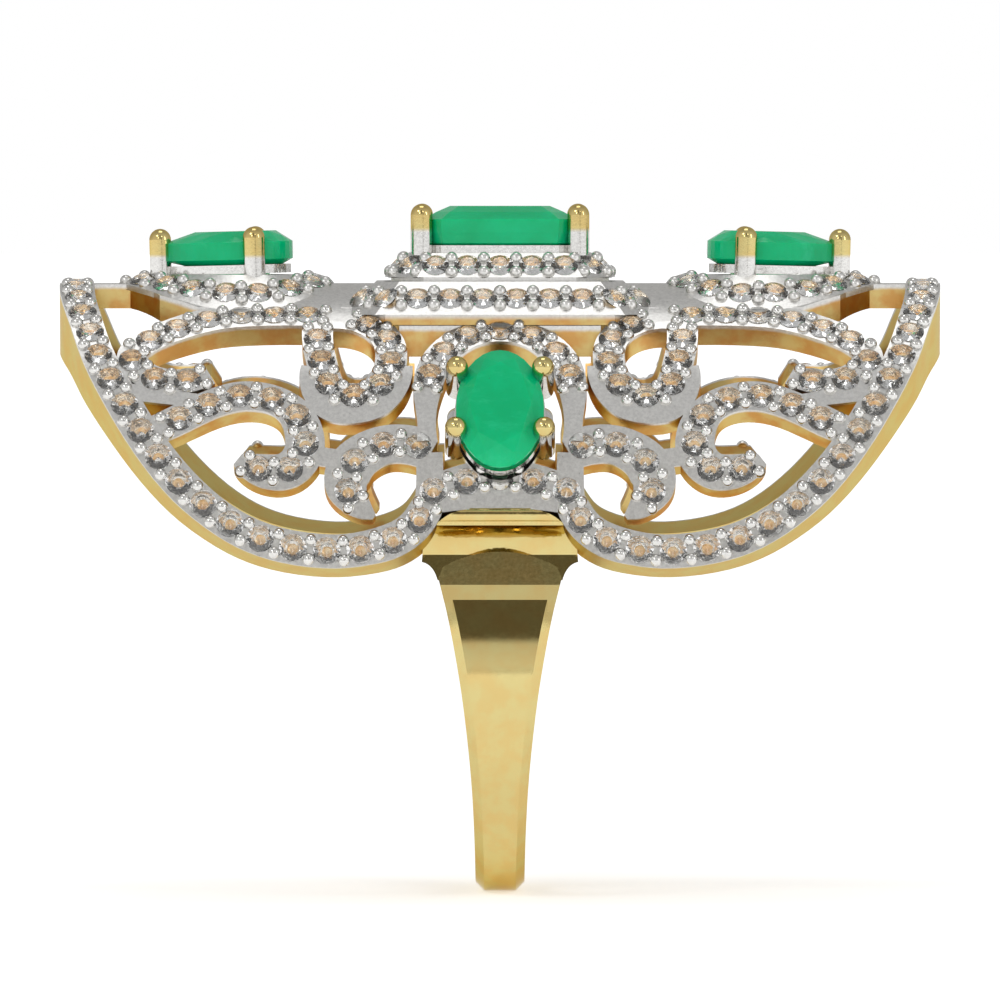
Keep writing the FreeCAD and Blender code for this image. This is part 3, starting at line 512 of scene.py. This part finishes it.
def fancy_brilliant(outline, cut, mains=8):
    """A brilliant on any outline, which takes a turn from 0 to 1 and gives a point from its middle.

    The cut is the table's share, the crown's height, the girdle's thickness, the keel's share and the depth.
    """
    table, crown, thickness, keel_share, depth = cut
    around = 4 * mains

    def ring(share, height, count, offset=0.0):
        spots = [outline((k + offset) / count) for k in range(count)]
        return [Vector((x * share, y * share, height)) for x, y in spots]

    points = ring(table, crown, mains)
    points += ring((1 + table) / 2 + 0.02, crown * 0.52, mains, 0.5)
    points += ring(1.0, 0.0, around)
    points += ring(1.0, -thickness, around)
    points += ring((1 + keel_share) / 2 - 0.03, -(depth + thickness) / 2, mains, 0.5)
    points += ring(keel_share * 0.96, -depth, mains)
    star, girdle = mains, 2 * mains
    lower, belly, keel = girdle + around, girdle + 2 * around, girdle + 2 * around + mains
    faces = [tuple(range(mains)), tuple(reversed(range(keel, keel + mains)))]
    for k in range(mains):
        after, before = (k + 1) % mains, (k - 1) % mains
        arc = [(4 * k + step) % around for step in range(5)]
        faces.append((k, star + k, after))
        faces.append((k, star + before, girdle + arc[0], star + k))
        faces.append((belly + before, lower + arc[0], belly + k, keel + k))
        faces.append((belly + k, keel + after, keel + k))
        for step in range(4):
            faces.append((star + k, girdle + arc[step], girdle + arc[step + 1]))
            faces.append((belly + k, lower + arc[step + 1], lower + arc[step]))
    bridge(faces, girdle, lower, around)
    return points, faces


CENTRE_CORNER = 0.8 * MM
PEAR_ROUND = 2.0 * MM
PEAR_LENGTH = 4.0 * MM
PEAR_CENTRE = 11.55 * MM
PEAR_GIRDLE = 29.9 * MM
PEAR_TILT = math.radians(1.5)
PEAR_CUT = (0.62, 0.5 * MM, 0.8 * MM, 0.4, 1.6 * MM)
OVAL_HALF_LENGTH = 3.0 * MM
OVAL_HALF_WIDTH = 2.0 * MM
OVAL_CUT = (0.7, 0.55 * MM, 0.12 * MM, 0.16, 1.5 * MM)


def oval_outline(half_length, half_width):
    def spot(turn):
        return half_width * math.cos(math.tau * turn), half_length * math.sin(math.tau * turn)
    return spot


def pear_outline(radius, length):
    """The same pear as the CAD's: a half circle, and two arcs that meet at a tip towards -X."""
    flank = (length ** 2 + radius ** 2) / (2 * radius)
    sweep = math.asin(min(1.0, length / flank))
    arcs = [(math.pi / 2) * radius, sweep * flank]
    total = sum(arcs)

    def spot(turn):
        place = (turn % 1.0) * 2 * total
        side = 1 if place <= total else -1
        place = place if side > 0 else 2 * total - place
        if place <= arcs[0]:
            angle = place / radius
            return radius * math.cos(angle), side * radius * math.sin(angle)
        angle = (place - arcs[0]) / flank
        return -flank * math.sin(angle), side * (flank * math.cos(angle) - flank + radius)
    return spot


def stone_piece(name, node, points, faces, place, material):
    shape = bmesh.new()
    add_faces(shape, [place @ point for point in points], faces)
    bmesh.ops.recalc_face_normals(shape, faces=shape.faces[:])
    mesh = bpy.data.meshes.new(name)
    shape.to_mesh(mesh)
    shape.free()
    new_piece(name, mesh, (material,), (node,))


def set_emeralds(material):
    """The five emeralds, each cut inside its CAD solid."""
    low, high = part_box("centre_emerald")
    points, faces = step_cut_stone((high.x - low.x) / 2, (high.y - low.y) / 2, CENTRE_CORNER)
    stone_piece("centre_step_cut", "centre_emerald", points, faces,
                Matrix.Translation((0, 0, high.z - STEP_CUT[0][1] * MM)), material)

    points, faces = fancy_brilliant(pear_outline(PEAR_ROUND, PEAR_LENGTH), PEAR_CUT, 10)
    for side, name in ((-1, "left"), (1, "right")):
        place = (Matrix.Scale(-side, 4, (1, 0, 0)) @ Matrix.Translation((-PEAR_CENTRE, 0, PEAR_GIRDLE))
                 @ Matrix.Rotation(-PEAR_TILT, 4, "Y"))
        stone_piece("pear_cut_" + name, "pear_emerald_" + name, points, faces, place, material)

    points, faces = fancy_brilliant(oval_outline(OVAL_HALF_LENGTH, OVAL_HALF_WIDTH), OVAL_CUT, 8)
    for side, name in ((-1, "front"), (1, "rear")):
        normal = Vector((0, side * OVAL_AXIS.x, OVAL_AXIS.y))
        foot = Vector((0, side * ARCH_HALF_DEPTH * math.sin(OVAL_TURN), ARCH_CENTRE + OVAL_HEIGHT))
        turn = Matrix.Rotation(side * -math.acos(normal.z), 4, "X")
        place = Matrix.Translation(foot + normal * OVAL_STAND) @ turn
        stone_piece("oval_cut_" + name, "oval_emerald_" + name, points, faces, place, material)


# ---------------------------------------------------------------- studio

FLOOR_REACH = 4.0
FLOOR_GLOW_NEAR = 0.44
FLOOR_GLOW_FAR = 0.66


def build_floor():
    """A white floor whose own glow grows with distance, so that it meets the white background."""
    corners = [(x * FLOOR_REACH, y * FLOOR_REACH, 0) for x, y in ((-1, -1), (1, -1), (1, 1), (-1, 1))]
    mesh = bpy.data.meshes.new("floor")
    mesh.from_pydata(corners, [], [(0, 1, 2, 3)])
    floor = bpy.data.objects.new("floor", mesh)
    bpy.context.scene.collection.objects.link(floor)
    shader = Shader("floor_white")
    pale = shader.mix(shader.noise(3.0), rgba(0.94, 0.94, 0.94), rgba(0.96, 0.96, 0.96))
    distance = shader.add("ShaderNodeVectorMath", operation="LENGTH")
    shader.link(shader.place, distance.inputs[0])
    glow = shader.ramp(distance.outputs["Value"], 0.05, 0.7, FLOOR_GLOW_NEAR, FLOOR_GLOW_FAR)
    mesh.materials.append(shader.put(Base_Color=pale, Roughness=0.9, Emission_Color=rgba(1, 1, 1),
                                     Emission_Strength=glow))


def soft_light(name, place, size, power):
    """An oblong lamp that faces the object; its size in metres and its power in watts."""
    light = bpy.data.lights.new(name, "AREA")
    light.shape = "RECTANGLE"
    light.size, light.size_y = size
    light.energy = power
    lamp = bpy.data.objects.new(name, light)
    bpy.context.scene.collection.objects.link(lamp)
    lamp.location = place
    lamp.rotation_euler = (Vector((0, 0, EYE_HEIGHT)) - Vector(place)).to_track_quat("-Z", "Y").to_euler()


# Heights in the sky as its sine plus one, halved, and the tent's grey there.
TENT_GREYS = [(0.0, 0.62), (0.48, 0.7), (0.53, 0.9), (0.62, 0.76), (0.8, 0.72), (0.93, 0.57), (1.0, 0.5)]
BEHIND_GREY = 0.75
SCREEN_COLOUR = rgba(0.12, 0.108, 0.08)
SCREEN_EDGE = 0.05
BAND_SCREEN_LOW = math.sin(math.radians(15))
BAND_SCREEN_HIGH = math.sin(math.radians(52))
BAND_SCREEN_HALF_WIDTH = math.radians(7)
PRONG_SCREEN_TURN = math.radians(17)
PRONG_SCREEN_HALF_WIDTH = math.radians(5)
PRONG_SCREEN_LOW = -0.35
PRONG_SCREEN_HIGH = 0.65


def dark_screen(sky, turn, half_width, low, high):
    """1 inside an upright dark screen, given by angles round the object and by the sines of its ends."""
    x, y, z = sky.axes()
    azimuth = sky.math("ARCTAN2", x, sky.math("MULTIPLY", y, -1.0))
    aside = sky.math("ABSOLUTE", sky.math("SUBTRACT", azimuth, turn))
    beyond = sky.math("ABSOLUTE", sky.math("SUBTRACT", z, (low + high) / 2))
    across = sky.math("DIVIDE", sky.math("SUBTRACT", half_width, aside), SCREEN_EDGE)
    upright = sky.math("DIVIDE", sky.math("SUBTRACT", (high - low) / 2, beyond), SCREEN_EDGE)
    inside = sky.math("MAXIMUM", sky.math("MINIMUM", across, upright), 0.0)
    return sky.math("MINIMUM", inside, 1.0)


def build_world():
    """A pale tent, dimmer overhead and behind, with two dark screens in front for the metal to mirror."""
    world = bpy.data.worlds.new("tent")
    bpy.context.scene.world = world
    world.use_nodes = True
    sky = Tree(world.node_tree, "Generated")
    _, y, z = sky.axes()
    greys = sky.add("ShaderNodeValToRGB")
    sky.link(sky.math("MULTIPLY_ADD", z, 0.5, 0.5), greys.inputs["Fac"])
    stops = greys.color_ramp.elements
    while len(stops) < len(TENT_GREYS):
        stops.new(0.5)
    for stop, (spot, grey) in zip(stops, TENT_GREYS):
        stop.position = spot
        stop.color = rgba(grey, grey, grey)
    tent = sky.add("ShaderNodeVectorMath", operation="SCALE")
    sky.link(greys.outputs["Color"], tent.inputs[0])
    sky.link(sky.ramp(y, -0.3, 0.3, 1.0, BEHIND_GREY, smooth=False), tent.inputs["Scale"])
    dark = sky.math("MAXIMUM",
                    dark_screen(sky, 0.0, BAND_SCREEN_HALF_WIDTH, BAND_SCREEN_LOW, BAND_SCREEN_HIGH),
                    dark_screen(sky, PRONG_SCREEN_TURN, PRONG_SCREEN_HALF_WIDTH, PRONG_SCREEN_LOW,
                                PRONG_SCREEN_HIGH))
    shaded = sky.mix(dark, tent.outputs["Vector"], SCREEN_COLOUR)
    seen = sky.mix(sky.add("ShaderNodeLightPath").outputs["Is Camera Ray"], shaded, rgba(1, 1, 1))
    sky.link(seen, sky.nodes["Background"].inputs["Color"])


CAMERA_ELEVATION = math.radians(1.5)
CAMERA_DISTANCE = 0.6
FRAME_WIDTH = 0.04608


def build_camera():
    camera = bpy.data.cameras.new("camera")
    camera.lens = camera.sensor_width * CAMERA_DISTANCE / FRAME_WIDTH
    camera.clip_start = 0.01
    camera.clip_end = 20.0
    camera.dof.use_dof = False
    holder = bpy.data.objects.new("camera", camera)
    bpy.context.scene.collection.objects.link(holder)
    aim = Vector((0, 0, EYE_HEIGHT))
    back = Vector((0, -math.cos(CAMERA_ELEVATION), math.sin(CAMERA_ELEVATION)))
    holder.location = aim + back * CAMERA_DISTANCE
    holder.rotation_euler = (aim - holder.location).to_track_quat("-Z", "Y").to_euler()
    bpy.context.scene.camera = holder


# Each lamp's name, place, size and power.
LAMPS = [
    ("key", (-0.25, -0.30, 0.35), (0.13, 0.10), 0.22),
    ("fill", (0.32, -0.22, 0.16), (0.06, 0.16), 0.12),
    ("top", (0.0, 0.05, 0.45), (0.18, 0.18), 0.19),
    ("spark_left", (-0.16, -0.42, 0.20), (0.05, 0.05), 0.05),
    ("spark_right", (0.13, -0.40, 0.32), (0.05, 0.05), 0.05),
]


def build_studio():
    build_floor()
    build_world()
    for name, place, size, power in LAMPS:
        soft_light(name, place, size, power)
    build_camera()
    bpy.context.scene.view_settings.view_transform = "Standard"


dress_metal()
set_melee(melee_material(), seat_material_painted_sparkle(), foil_material_painted_sparkle())
set_emeralds(emerald_material())
build_studio()
